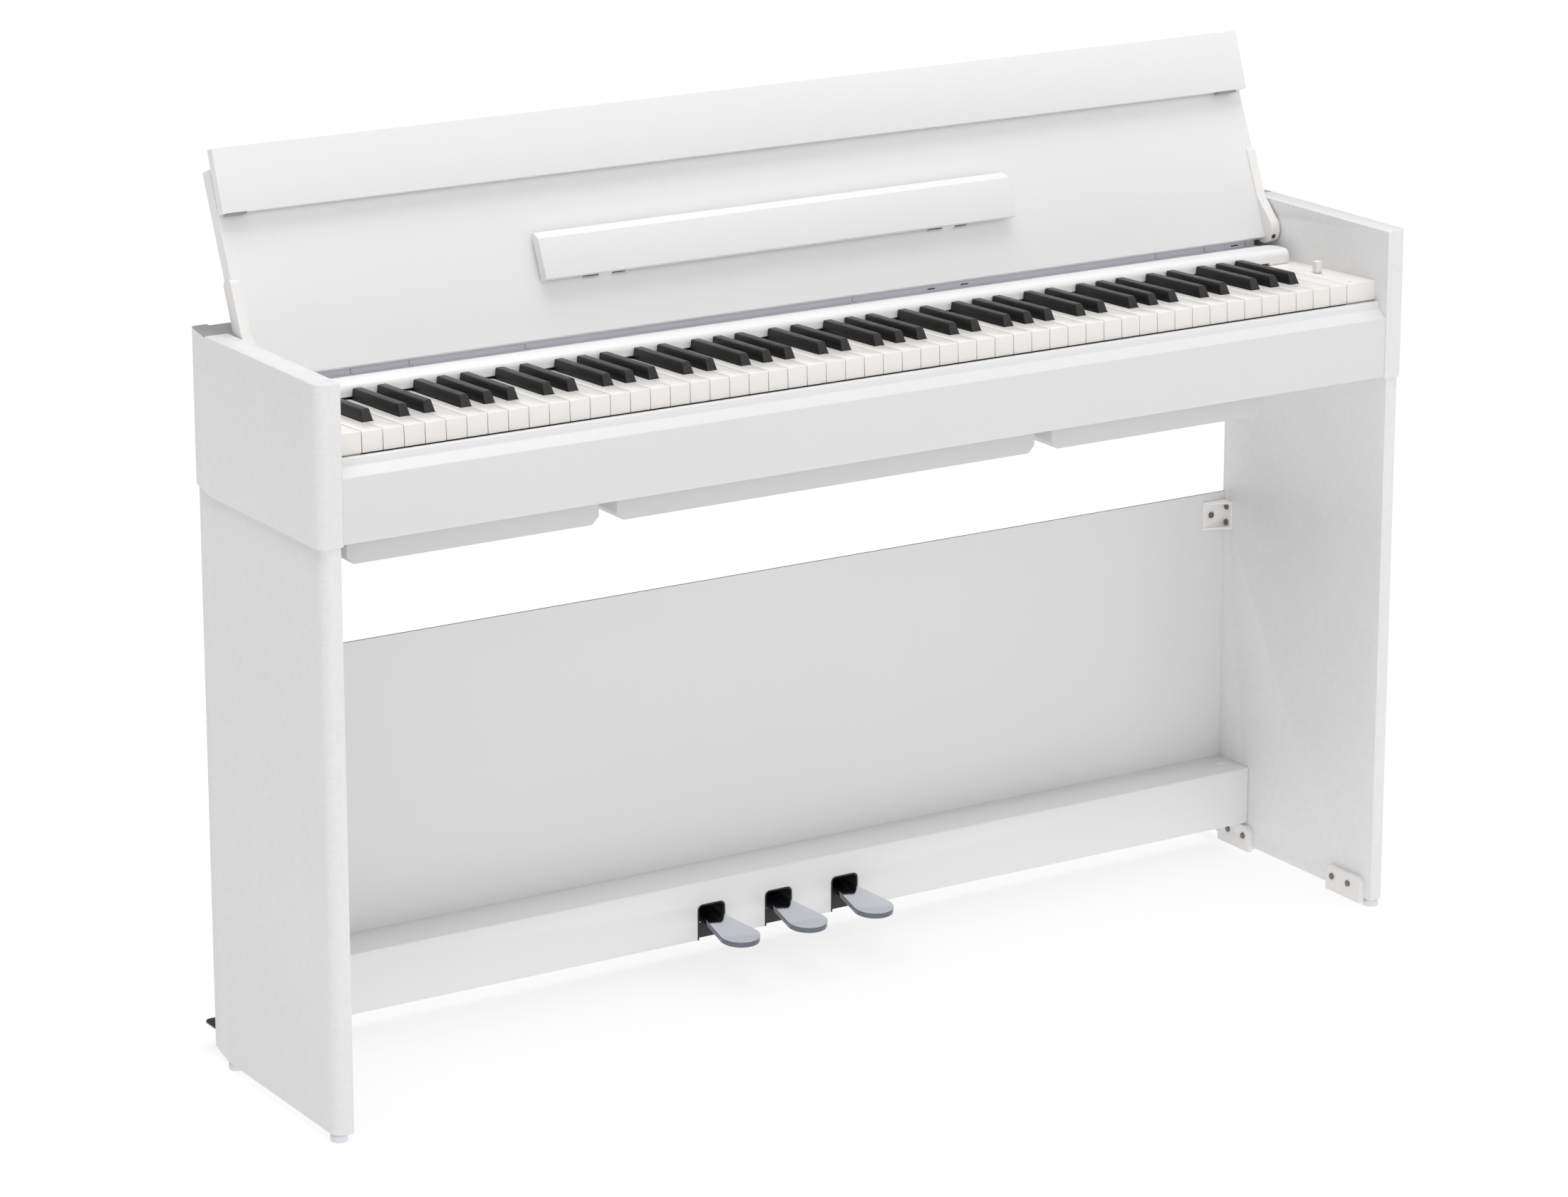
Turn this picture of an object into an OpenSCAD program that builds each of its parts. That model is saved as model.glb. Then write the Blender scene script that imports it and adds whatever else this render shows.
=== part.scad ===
// Digital piano on a panel stand: cabinet, folding lid, keyboard and pedals.
// Millimetres, +Z up, the floor at Z = 0, the player in front at -Y.
// Depths are measured backwards from the front plane of the cheeks.

/* [Cabinet] */
// Overall width over the two cheeks
cabinet_w = 1353; // [1351:1:1357]
// Depth of the cabinet, without the rear brackets
cabinet_d = 296; // [295:1:299]
// Height of the cabinet with its lid closed
cabinet_h = 792; // [791:1:794]
// Thickness of a cheek, the side board beside the keys
cheek_t = 27; // [26:0.5:27]
// Height of a cheek
cheek_h = 167; // [166:1:168]
// Thickness of a leg board
leg_t = 21; // [19:0.5:22]
// How far a leg board stands back from the cheek on both faces
leg_inset = 3; // [1:0.5:3]
// Radius of the rounded front corners
corner_r = 11.6; // [8:0.2:13]
// Length of the slanted facet at the rear corners
facet_l = 50; // [30:1:60]
// Width of the same facet
facet_w = 9.5; // [6:0.5:11]
// Thickness of the keybed
keybed_t = 18; // [15:1:18]
// Thickness of the top board and the rear board
board_t = 15; // [12:1:15]
// How far the rear brackets reach behind the cabinet
rear_reach = 29; // [20:1:40]

/* [Keyboard] */
// Distance from one white key to the next
key_pitch = 23.59; // [23.5:0.01:23.6]
// Depth at which the white keys begin
key_front = 21.7; // [21.5:0.1:22]
// Height of the front edge of the white keys
key_level = 733.7; // [733:0.1:734]
// Slope of the keyboard, falling to the rear
key_slope = 2.35; // [2:0.05:2.4]
// Thickness of a key
key_t = 13; // [12:0.5:13]
// Height of the lip at the front of a white key
lip_h = 21.7; // [20:0.1:21.7]
// Gap between neighbouring white keys
key_gap = 1; // [0.8:0.1:1.2]
// Where the black keys begin, behind the white fronts
black_start = 37.6; // [36:0.1:40]
// Where the raised part of the black keys ends
black_end = 140; // [130:1:140]
// Height of the black keys over the white ones
black_rise = 12; // [10:0.5:12]
// Width of a black key at its foot
black_w = 12.2; // [11:0.1:12.6]
// Width of a black key at its top
black_top_w = 9.6; // [8:0.1:10]
// Distance from the white fronts to the key pivots
key_reach = 226.5; // [220:0.5:227]

/* [Lid] */
// Thickness of the lid panel
lid_t = 16; // [15:0.5:16]
// Width of the lid panel
lid_w = 1291.4; // [1288:0.2:1291.4]
// Angle between the closed lid and the open one
lid_swing = 113.1; // [105:0.1:114]
// Depth of the hinge pins of the lid
pivot_d = 210.6; // [210:0.1:211]
// Height of the hinge pins below the top of the cabinet
pivot_drop = 19.3; // [19:0.1:19.3]
// Thickness of the front flap
flap_t = 10.9; // [9:0.1:11]
// Height of the front flap
flap_h = 67.1; // [60:0.1:67.5]
// Angle through which the flap folds under the lid
flap_fold = 93.2; // [90:0.1:93.2]
// Width of the music ledge
ledge_w = 595; // [560:1:600]
// Height of the music ledge
ledge_h = 51.3; // [45:0.1:55]
// Thickness of the music ledge
ledge_t = 12; // [10:0.5:12]

/* [Stand and pedals] */
// Height of the upper edge of the back panel
panel_top = 429; // [400:1:440]
// Height of the underside of the pedal beam
beam_z = 37.2; // [30:0.2:40]
// Height of the pedal beam
beam_h = 67.7; // [60:0.1:68]
// Depth at which the pedal beam begins
beam_d = 233.7; // [230:0.1:235]
// Distance from one pedal to the next
pedal_pitch = 87.25; // [80:0.25:95]
// Width of a pedal's neck
neck_w = 24.5; // [20:0.5:26]
// Radius of a pedal's round end
pedal_r = 22.5; // [20:0.5:24]
// Distance from the pedal pivots to the centre of the round end
pedal_reach = 100; // [90:1:104]
// Slope of the pedals, falling to the front
pedal_slope = 4.9; // [3:0.1:6]

/* [Hidden] */
$fn = 64;
eps = 0.5;

// Colours
paint = [0.93, 0.93, 0.93];
ivory = [0.92, 0.9, 0.88];
plastic = [0.9, 0.88, 0.86];
grey = [0.7, 0.7, 0.72];
dark = [0.12, 0.12, 0.13];
black = [0.05, 0.05, 0.05];
steel = [0.75, 0.75, 0.78];
chrome = [0.85, 0.85, 0.87];
felt = [0.08, 0.08, 0.09];
green = [0.1, 0.35, 0.18];

// Cabinet
front_y = -(cabinet_d + rear_reach) / 2;
cheek_in = cabinet_w / 2 - cheek_t;
cheek_z = cabinet_h - cheek_h;
leg_in = cheek_in + leg_inset;
leg_z = 9.7;
leg_front = 1;
leg_back = cabinet_d - 1;
glide_r = 9;
keybed_d = 16;
keybed_top = cheek_z + keybed_t;
rear_d = cabinet_d - 1 - board_t;
top_z = cabinet_h - 1.4 - board_t;
top_d = 242;
arm_notch = 6;

// Key slip
slip_front = 0.7;
slip_z = 627.3;
slip_band_z = 694.2;
slip_lip_d = 11.2;
slip_lip_z = 703.3;
slip_top = 711;
slip_back = 19.9;

// Keyboard
white_count = 52;
keys_left = -616.8;
keys_right = keys_left + white_count * key_pitch;
lip_t = 2.5;
black_air = 0.9;
notch = black_w / 2 + black_air;
tail_3 = 3 * key_pitch / 5;
tail_4 = 4 * key_pitch / 7;
key_len = key_reach + 8;
rod_r = 2;
running = 0.08;
block_air = 0.6;
block_rod_depth = 8;
block_step = 2;

// Key frame: strips given by where they begin and end in depth
frame_t = 3;
frame_base = [36, 262];
stop_web = [53, 59];
stop_flange = [40, 72];
stop_z = 707;
stop_felt_d = [44, 68];
stop_felt_t = 2.5;
pivot_web = [245, 251];
pivot_flange = [238, 258];
pivot_top = 708;

// Fallboard bar and the channel behind it
bar_d = 163;
bar_t = 31.5;
bar_z = 728.1;
bar_top = 744;
bar_half = 638.5;
bar_round = 8;
bar_end_r = 14;
bar_relief = 2.5;
bar_back = bar_d + bar_t;
felt_t = 1.5;
felt_w = 20;
channel_z = 736;
channel_t = 3;
channel_half = 633;
channel_rail_d = 221.5;
channel_rail_z = 756;
swing_r = 30;

// Controls on the right end block
knob_x = 626.5;
knob_y = 74.5;
knob_w = 8;
knob_h = 13.5;
knob_travel = 9;
stem_w = 1.6;
stem_l = 6;
stem_h = 8;
stem_air = 0.4;
knob_lift = 0.4;
button_x = 626.6;
button_y = 9.4;
button_w = 12;
button_l = 5;
button_h = 6;
button_up = 0.8;
button_air = 0.3;
button_well = 9;

// Lid, in coordinates centred on its closed hinge
pivot_z = cabinet_h - pivot_drop;
lid_under = pivot_drop - lid_t;
lid_back = 22.4;
lid_front = -197.1;
pin_r = 3;
pin_air = 0.05;
pin_in = 638;
pin_out = 662;
arm_in = 636.2;
arm_out = 647.5;
arm_lip = 1.6;
arm_top = 106.5;
arm_round = 7;
arm_boss = [10, -1];
arm_boss_r = 16.5;
arm_taper = [47, arm_lip];
plug_x = 639.8;
plug_r = 2.7;
plug_z = 753;
plug_face_d = 194.7;
plug_len = 5;

// Flap and its hinge, and the music ledge and its hinge
flap_axis = [lid_front, 0.7];
flap_gap = 2.6;
knuckle_r = 2.2;
hinge_pin_r = 1;
hinge_air = 0.08;
flap_hinge_x = [-520, 0, 520];
flap_hinge_l = 60;
hinge_leaf = 14;
pad_t = 8.2;
pad_h = 2.4;
pad_inset = 1.3;
pad_spans = [[-641, -618], [606, 632]];
ledge_z = 60;
ledge_gap = 3.7;
ledge_bevel = 8;
ledge_axis = [58.7, 1.4];
ledge_knuckle_r = 1.2;
ledge_pin_r = 0.6;
ledge_hinge_x = [-220.6, 213.9];
ledge_hinge_l = 50;
knuckle_gap = 0.4;
leaf_t = 0.8;
ledge_leaf_t = 0.6;

// Boxes under the keybed
box_z = 600;
box_d = 20;
box_back = 262;
box_wall = 3;
box_bevel = 8;
box_left = [-637, -348.5];
box_centre = [-328, 190];
box_right = [212, 495];
driver_r = 48;
driver_h = 16;
driver_rim = 4;
driver_x = [-492, 353];
driver_d = 140;
board_plan = [220, 120];
board_corner = [-150, 90];
board_lift = 3;
board_sheet = 1.6;
chip_w = 22;
chip_h = 4;
chip_x = [-110, -40, 30];
chip_d = 130;
post_x = [-130, 50];
post_d = [100, 200];
inlet_x = 120;
inlet_w = 14;
inlet_h = 11;
inlet_l = 13;
inlet_r = 2.75;
inlet_deep = 9.5;
inlet_z = 614;

// Stand and pedals
panel_t = 3;
panel_d = leg_back - panel_t;
beam_t = 12;
slot_w = 35;
slot_top = 78;
slot_r = 6;
liner_t = 1.5;
housing_w = 46;
housing_wall = 4;
housing_top = 90;
housing_back = 288;
pedal_d = 274;
pedal_z = 65.4;
pedal_t = 6;
pedal_hub_r = 6;
pedal_axle_r = 3;
neck_end = -45;
cap_x = 632.9;
cap_d = 261.9;
bracket_t = 2.5;
bracket_w = 32.8;
bracket_z = 386.5;
bracket_l = 16;
foot_t = 6;
foot_z = [4, 34];
foot_front = [13, 76];
foot_rear = [223, 283];
foot_screw_d = [35.3, 64.8, 234, 263];
foot_screw_z = 22;
leg_screws = [[284, 412.2], [284, 393.6]];
panel_screw = [631, 403.4];
screw_r = 2;
head_r = 3.6;
head_h = 1.8;
screw_bite = 12;
angle_t = 2;
angle_x = 646;
angle_w = 17;
angle_z = 27;
angle_h = 35;
angle_r = 7;
angle_screw_x = 658;
angle_screw_z = [40, 54];

// Where a line from p touches the circle (c, r) on its upper side, as an angle
function tangent_angle(c, r, p) =
    let (v = p - c)
    atan2(v[1], v[0]) + acos(r / norm(v));

// Points along a circle from angle a0 to a1
function arc(c, r, a0, a1, steps = 8) =
    [for (i = [0:steps]) let (a = a0 + (a1 - a0) * i / steps) c + r * [cos(a), sin(a)]];

// Depth and height of a point given along and above the key tops
function key_point(y, z) = [
    key_front + y * cos(key_slope) + z * sin(key_slope),
    key_level - y * sin(key_slope) + z * cos(key_slope)
];

// Letters run C = 0 to B = 6, and the lowest white key is an A
function letter(w) = (w + 5) % 7;
function key_left(w) = keys_left + w * key_pitch;
function first_white(g) = g == 1 ? 0 : 7 * g - 5;
function last_white(g) = g == 7 ? white_count - 1 : 7 * g + 1;
function has_black(w) = w < white_count - 1 && letter(w) != 2 && letter(w) != 6;

// Centre of the black key to the right of a letter, from that key's left side
function black_at(n) =
    n < 3 ? (1.5 + 2 * n) * tail_3 - n * key_pitch
    : (1.5 + 2 * (n - 3)) * tail_4 - (n - 3) * key_pitch;

// Sides of a white key's tail, from that key's left side
function tail_start(w) =
    w == 0 || letter(w) == 0 || letter(w) == 3 ? key_gap / 2
    : black_at(letter(w) - 1) - key_pitch + notch;
function tail_end(w) =
    has_black(w) ? black_at(letter(w)) - notch : key_pitch - key_gap / 2;

module from_front() {
    translate([0, front_y, 0])
        children();
}

module on_side(side) {
    if (side < 0)
        mirror([1, 0, 0]) children();
    else
        children();
}

// A sketch in (depth, height), drawn out along X from x0
module along_x(x0, w) {
    translate([x0, 0, 0])
        rotate([90, 0, 90])
            linear_extrude(w)
                children();
}

module rod_x(x0, l, r) {
    translate([x0, 0, 0])
        rotate([0, 90, 0])
            cylinder(h = l, r = r);
}

// Plan of a side board: round front corner, slanted facet at the rear
module side_plan(t, front, back) {
    difference() {
        translate([0, front])
            square([t, back - front]);
        difference() {
            translate([t - corner_r, front - eps])
                square([corner_r + eps, corner_r + eps]);
            translate([t - corner_r, front + corner_r])
                circle(corner_r);
        }
        polygon([
            [t, back - facet_l],
            [t + eps, back - facet_l],
            [t + eps, back + eps],
            [t - facet_w, back + eps],
            [t - facet_w, back]
        ]);
    }
}

// The plane of the key tops, with y counted from the white fronts
module on_keys() {
    translate([0, front_y + key_front, key_level])
        rotate([-key_slope, 0, 0])
            children();
}

module at_key_rod() {
    on_keys()
        translate([0, key_reach, -key_t / 2])
            children();
}

// Coordinates of the closed lid, turned to the open one
module on_lid() {
    translate([0, front_y + pivot_d, pivot_z])
        rotate([-lid_swing, 0, 0])
            children();
}

// A sketch in (distance up the open panel, distance in front of it)
module panel_sketch() {
    translate([lid_back, lid_under])
        rotate(180)
            children();
}

module at_panel(up, out) {
    translate([0, lid_back - up, lid_under - out])
        children();
}

module on_flap() {
    on_lid()
        translate([0, flap_axis[0], flap_axis[1]])
            rotate([flap_fold, 0, 0])
                translate([0, -flap_axis[0], -flap_axis[1]])
                    children();
}

// Cabinet ------------------------------------------------------------------

module cheek(side) {
    color(paint)
        difference() {
            from_front()
                on_side(side)
                    translate([cheek_in, 0, cheek_z])
                        linear_extrude(cheek_h)
                            side_plan(cheek_t, 0, cabinet_d);
            on_lid()
                on_side(side)
                    rod_x(cheek_in - eps, pin_out - cheek_in + eps, pin_r + pin_air);
        }
}

module leg(side) {
    color(paint)
        difference() {
            from_front()
                on_side(side)
                    translate([leg_in, 0, leg_z])
                        linear_extrude(cheek_z - leg_z)
                            side_plan(leg_t, leg_front, leg_back);
            screw_holes(side);
        }
}

module screw_holes(side) {
    from_front()
        on_side(side) {
            for (d = foot_screw_d)
                translate([0, d, foot_screw_z])
                    rod_x(leg_in - foot_t - eps, foot_t + eps + screw_bite, screw_r + hinge_air);
            for (p = leg_screws)
                translate([0, p[0], p[1]])
                    rod_x(leg_in - bracket_t - eps, bracket_t + eps + screw_bite, screw_r + hinge_air);
            for (z = angle_screw_z)
                translate([angle_screw_x, leg_back + angle_t + eps, z])
                    rotate([90, 0, 0])
                        cylinder(h = angle_t + eps + screw_bite, r = screw_r + hinge_air);
        }
}

module keybed() {
    color(paint)
        from_front()
            translate([-cheek_in, keybed_d, cheek_z])
                cube([2 * cheek_in, rear_d - keybed_d, keybed_t]);
}

// The fascia under the keys: flat face, sloping band and upright lip
module key_slip() {
    color(paint)
        from_front()
            along_x(-cheek_in, 2 * cheek_in)
                polygon([
                    [slip_front, slip_z],
                    [slip_front, slip_band_z],
                    [slip_lip_d, slip_lip_z],
                    [slip_lip_d + 2, slip_top - 1],
                    [slip_lip_d + 3, slip_top],
                    [slip_back, slip_top],
                    [slip_back, keybed_top],
                    [keybed_d, keybed_top],
                    [keybed_d, slip_z]
                ]);
}

module rear_board() {
    color(paint)
        from_front()
            translate([-cheek_in, rear_d, cheek_z])
                cube([2 * cheek_in, board_t, top_z - cheek_z]);
}

module top_board() {
    well = channel_half;
    color(paint)
        from_front()
            difference() {
                translate([-cheek_in, top_d, top_z])
                    cube([2 * cheek_in, cabinet_d - 1 - top_d, board_t]);
                for (side = [-1, 1])
                    on_side(side)
                        translate([well, top_d - eps, top_z - eps])
                            cube([cheek_in - well + eps, arm_notch + eps, board_t + 2 * eps]);
            }
}

module fallboard_bar() {
    color(paint)
        from_front()
            difference() {
                intersection() {
                    along_x(-bar_half, 2 * bar_half)
                        union() {
                            translate([bar_d + bar_round, bar_z])
                                square([bar_t - bar_round, bar_top - bar_z]);
                            translate([bar_d, bar_z])
                                square([bar_t, bar_top - bar_z - bar_round]);
                            translate([bar_d + bar_round, bar_top - bar_round])
                                circle(bar_round);
                        }
                    translate([0, 0, bar_z])
                        linear_extrude(bar_top - bar_z)
                            bar_plan();
                }
                translate([keys_left - block_air, bar_d - eps, bar_z - eps])
                    cube([keys_right - keys_left + 2 * block_air, bar_t + 2 * eps, bar_relief + eps]);
            }
}

// Plan of the bar: its rear corners are rounded to clear the lid arms
module bar_plan() {
    union() {
        translate([-bar_half, bar_d])
            square([2 * bar_half, bar_t - bar_end_r]);
        translate([-bar_half + bar_end_r, bar_d])
            square([2 * (bar_half - bar_end_r), bar_t]);
        for (side = [-1, 1])
            translate([side * (bar_half - bar_end_r), bar_back - bar_end_r])
                circle(bar_end_r);
    }
}

// The trough behind the bar, hollowed for the lower edge of the lid
module rear_channel() {
    color(grey)
        difference() {
            from_front()
                along_x(-channel_half, 2 * channel_half)
                    polygon([
                        [bar_back, channel_z],
                        [rear_d, channel_z],
                        [rear_d, channel_z + channel_t],
                        [top_d, channel_z + channel_t],
                        [top_d, channel_rail_z],
                        [channel_rail_d, channel_rail_z],
                        [channel_rail_d, channel_z + channel_t],
                        [bar_back, channel_z + channel_t]
                    ]);
            on_lid()
                rod_x(-cheek_in, 2 * cheek_in, swing_r);
        }
}

module end_block(x0, x1) {
    lip = key_point(0, -lip_h);
    rear = key_point(key_len, 0);
    from_front()
        along_x(x0, x1 - x0)
            polygon([
                lip,
                key_point(0, 0),
                rear,
                [rear[0], keybed_top],
                [key_front + block_step, keybed_top],
                [key_front + block_step, lip[1]]
            ]);
}

module end_block_left() {
    color(ivory)
        difference() {
            end_block(-cheek_in, keys_left - block_air);
            at_key_rod()
                rod_x(keys_left - block_air - block_rod_depth, block_rod_depth + eps, rod_r + running);
        }
}

module end_block_right() {
    slot_l = stem_l + 2 * knob_travel + 2;
    slot_deep = stem_h + 2;
    button_hole = [button_w + 2 * button_air, button_l + 2 * button_air, button_well + eps];
    color(ivory)
        difference() {
            end_block(keys_right + block_air, cheek_in);
            at_key_rod()
                rod_x(keys_right + block_air - eps, block_rod_depth + eps, rod_r + running);
            on_keys() {
                translate([knob_x - stem_w / 2 - stem_air, knob_y - slot_l / 2, -slot_deep])
                    cube([stem_w + 2 * stem_air, slot_l, slot_deep + eps]);
                translate([button_x, button_y, (eps - button_well) / 2])
                    cube(button_hole, center = true);
            }
        }
}

// A rectangle of a sketch, from depth d[0] to d[1]
module strip(d, z0, z1) {
    translate([d[0], z0])
        square([d[1] - d[0], z1 - z0]);
}

// Steel frame under the keys: base plate, front stop rail and rear pivot rail
module key_frame() {
    color(steel)
        from_front()
            along_x(keys_left, keys_right - keys_left)
                union() {
                    strip(frame_base, keybed_top, keybed_top + frame_t);
                    strip(stop_web, keybed_top, stop_z);
                    strip(stop_flange, stop_z - frame_t, stop_z);
                    strip(pivot_web, keybed_top, pivot_top);
                    strip(pivot_flange, pivot_top - frame_t, pivot_top);
                }
}

// Felt strips: under the bar, and on the stop rail
module key_felt() {
    under_bar = bar_z + bar_relief;
    color(felt)
        from_front() {
            along_x(keys_left, keys_right - keys_left)
                strip([bar_d + 2, bar_d + 2 + felt_w], under_bar - felt_t, under_bar);
            along_x(keys_left, keys_right - keys_left)
                strip(stop_felt_d, stop_z, stop_z + stop_felt_t);
        }
}

module key_pivot_rod() {
    reach = block_air + block_rod_depth - 0.5;
    color(steel)
        at_key_rod()
            rod_x(keys_left - reach, keys_right - keys_left + 2 * reach, rod_r);
}

// A box hung under the keybed, open where the keybed closes it
module under_box(x) {
    module face(in, bevel) {
        top = cheek_z + (in > 0 ? eps : 0);
        polygon([
            [x[0] + in, top],
            [x[0] + in, box_z + bevel],
            [x[0] + bevel, box_z + in],
            [x[1] - bevel, box_z + in],
            [x[1] - in, box_z + bevel],
            [x[1] - in, top]
        ]);
    }
    from_front()
        difference() {
            translate([0, box_back, 0])
                rotate([90, 0, 0])
                    linear_extrude(box_back - box_d)
                        face(0, box_bevel);
            translate([0, box_back - box_wall, 0])
                rotate([90, 0, 0])
                    linear_extrude(box_back - box_d - 2 * box_wall)
                        face(box_wall, box_bevel + 1);
        }
}

module speaker_box_left() {
    color(paint)
        under_box(box_left);
}

module speaker_box_right() {
    color(paint)
        under_box(box_right);
}

module centre_box() {
    color(paint)
        difference() {
            under_box(box_centre);
            from_front()
                translate([inlet_x - inlet_w / 2, box_back - box_wall - eps, inlet_z - inlet_h / 2])
                    cube([inlet_w, box_wall + 2 * eps, inlet_h]);
        }
}

module speaker_drivers() {
    color(dark)
        from_front()
            for (x = driver_x)
                translate([x, driver_d, box_z + box_wall])
                    union() {
                        cylinder(h = driver_rim, r = driver_r);
                        translate([0, 0, driver_rim - eps])
                            cylinder(h = driver_h - driver_rim + eps, r1 = driver_r - 8, r2 = driver_r - 22);
                    }
}

module main_board() {
    floor_z = box_z + box_wall;
    color(green)
        from_front()
            union() {
                translate([board_corner[0], board_corner[1], floor_z + board_lift])
                    cube([board_plan[0], board_plan[1], board_sheet]);
                for (x = chip_x)
                    translate([x, chip_d, floor_z + board_lift + board_sheet - eps])
                        cube([chip_w, chip_w, chip_h]);
                for (x = post_x, d = post_d)
                    translate([x, d, floor_z])
                        cylinder(h = board_lift + eps, r = 3);
            }
}

module dc_inlet() {
    color(dark)
        from_front()
            difference() {
                translate([inlet_x - inlet_w / 2, box_back - inlet_l, inlet_z - inlet_h / 2])
                    cube([inlet_w, inlet_l, inlet_h]);
                translate([inlet_x, box_back + eps, inlet_z])
                    rotate([90, 0, 0])
                        cylinder(h = inlet_deep + eps, r = inlet_r);
            }
}

// Stand ----------------------------------------------------------------------

module back_panel() {
    color(paint)
        difference() {
            from_front()
                translate([-leg_in, panel_d, beam_z])
                    cube([2 * leg_in, panel_t, panel_top - beam_z]);
            for (side = [-1, 1])
                panel_screw_hole(side);
        }
}

module panel_screw_hole(side) {
    from_front()
        on_side(side)
            translate([panel_screw[0], panel_d + panel_t + eps, panel_screw[1]])
                rotate([90, 0, 0])
                    cylinder(h = panel_t + bracket_t + 2 * eps, r = screw_r + hinge_air);
}

module slot_shape(w, top, r) {
    translate([-w / 2, beam_z - eps])
        square([w, top - r - beam_z + eps]);
    translate([-w / 2 + r, top - r - eps])
        square([w - 2 * r, r + eps]);
    for (s = [-1, 1])
        translate([s * (w / 2 - r), top - r])
            circle(r);
}

module pedal_beam() {
    color(paint)
        from_front()
            difference() {
                along_x(-leg_in, 2 * leg_in)
                    polygon([
                        [beam_d, beam_z],
                        [beam_d, beam_z + beam_h],
                        [panel_d, beam_z + beam_h],
                        [panel_d, beam_z + beam_h - beam_t],
                        [beam_d + beam_t, beam_z + beam_h - beam_t],
                        [beam_d + beam_t, beam_z]
                    ]);
                for (i = [-1:1])
                    translate([i * pedal_pitch, beam_d + beam_t + eps, 0])
                        rotate([90, 0, 0])
                            linear_extrude(beam_t + 2 * eps)
                                slot_shape(slot_w, slot_top, slot_r);
            }
}

// Black housings: a liner in each slot and a cheek on each side of the pivot
module pedal_housings() {
    inner = slot_w - 2 * liner_t;
    color(black)
        for (i = [-1:1])
            from_front()
                translate([i * pedal_pitch, 0, 0])
                    difference() {
                        union() {
                            translate([-housing_w / 2, beam_d + beam_t, beam_z])
                                cube([housing_w, housing_back - beam_d - beam_t, housing_top - beam_z]);
                            translate([0, beam_d + beam_t + eps, 0])
                                rotate([90, 0, 0])
                                    linear_extrude(beam_t + eps)
                                        intersection() {
                                            slot_shape(slot_w, slot_top, slot_r);
                                            translate([-slot_w, beam_z])
                                                square([2 * slot_w, beam_h]);
                                        }
                        }
                        translate([0, housing_back - housing_wall, 0])
                            rotate([90, 0, 0])
                                linear_extrude(housing_back - housing_wall - beam_d + eps)
                                    slot_shape(inner, slot_top - liner_t, slot_r - liner_t);
                        translate([0, pedal_d, pedal_z])
                            rod_x(-housing_w / 2 - eps, housing_w + 2 * eps, pedal_axle_r + pin_air);
                    }
}

module pedal_axles() {
    color(steel)
        for (i = [-1:1])
            from_front()
                translate([i * pedal_pitch, pedal_d, pedal_z])
                    rod_x(-housing_w / 2, housing_w, pedal_axle_r);
}

module beam_caps() {
    color(plastic)
        from_front()
            for (side = [-1, 1])
                translate([side * cap_x, cap_d, beam_z + beam_h])
                    cylinder(h = 1.5, r = 6);
}

module panel_brackets() {
    color(plastic)
        for (side = [-1, 1])
            difference() {
                from_front()
                    on_side(side)
                        union() {
                            translate([leg_in - bracket_w, panel_d - bracket_t, bracket_z])
                                cube([bracket_w, bracket_t, bracket_w]);
                            translate([leg_in - bracket_t, panel_d - bracket_l, bracket_z])
                                cube([bracket_t, bracket_l, bracket_w]);
                            for (z = [bracket_z, bracket_z + bracket_w - bracket_t])
                                translate([0, 0, z])
                                    linear_extrude(bracket_t)
                                        polygon([
                                            [leg_in, panel_d],
                                            [leg_in - bracket_w, panel_d],
                                            [leg_in - bracket_w, panel_d - bracket_t],
                                            [leg_in - bracket_t, panel_d - bracket_l],
                                            [leg_in, panel_d - bracket_l]
                                        ]);
                        }
                screw_holes(side);
                panel_screw_hole(side);
            }
}

module foot_brackets() {
    bevel = 6;
    color(plastic)
        for (side = [-1, 1], span = [foot_front, foot_rear])
            difference() {
                from_front()
                    on_side(side)
                        along_x(leg_in - foot_t, foot_t)
                            polygon([
                                [span[0], foot_z[0]],
                                [span[1], foot_z[0]],
                                [span[1], foot_z[1] - bevel],
                                [span[1] - bevel, foot_z[1]],
                                [span[0] + bevel, foot_z[1]],
                                [span[0], foot_z[1] - bevel]
                            ]);
                screw_holes(side);
            }
}

// A screw driven along X, with the underside of its head at x
module screw_x(x, bite) {
    union() {
        rod_x(x - head_h, head_h, head_r);
        rod_x(x - eps, eps + bite, screw_r);
    }
}

module bracket_screws() {
    color(steel)
        from_front()
            for (side = [-1, 1])
                on_side(side) {
                    for (d = foot_screw_d)
                        translate([0, d, foot_screw_z])
                            screw_x(leg_in - foot_t, screw_bite);
                    for (p = leg_screws)
                        translate([0, p[0], p[1]])
                            screw_x(leg_in - bracket_t, screw_bite);
                    translate([panel_screw[0], panel_d - bracket_t, panel_screw[1]])
                        rotate([0, 0, 90])
                            screw_x(0, bracket_t + panel_t);
                    for (z = angle_screw_z)
                        translate([angle_screw_x, leg_back + angle_t, z])
                            rotate([0, 0, -90])
                                screw_x(0, screw_bite);
                }
}

module glides() {
    color(grey)
        from_front()
            for (side = [-1, 1], d = [glide_r + 5, cabinet_d - facet_l])
                translate([side * (leg_in + leg_t / 2), d, 0])
                    union() {
                        cylinder(h = leg_z, r = glide_r - 2);
                        cylinder(h = leg_z - 3, r = glide_r);
                    }
}

// Black steel angles behind the legs: an upright flange and a round-ended tongue
module rear_brackets() {
    reach_end = cabinet_d + rear_reach;
    color(black)
        difference() {
            from_front()
                for (side = [-1, 1])
                    on_side(side)
                        union() {
                            translate([angle_x, leg_back, angle_z])
                                cube([angle_w, angle_t, angle_h]);
                            translate([angle_x, 0, angle_z])
                                linear_extrude(angle_t)
                                    tongue_plan(leg_back, reach_end);
                        }
            screw_holes(-1);
            screw_holes(1);
        }
}

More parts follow.
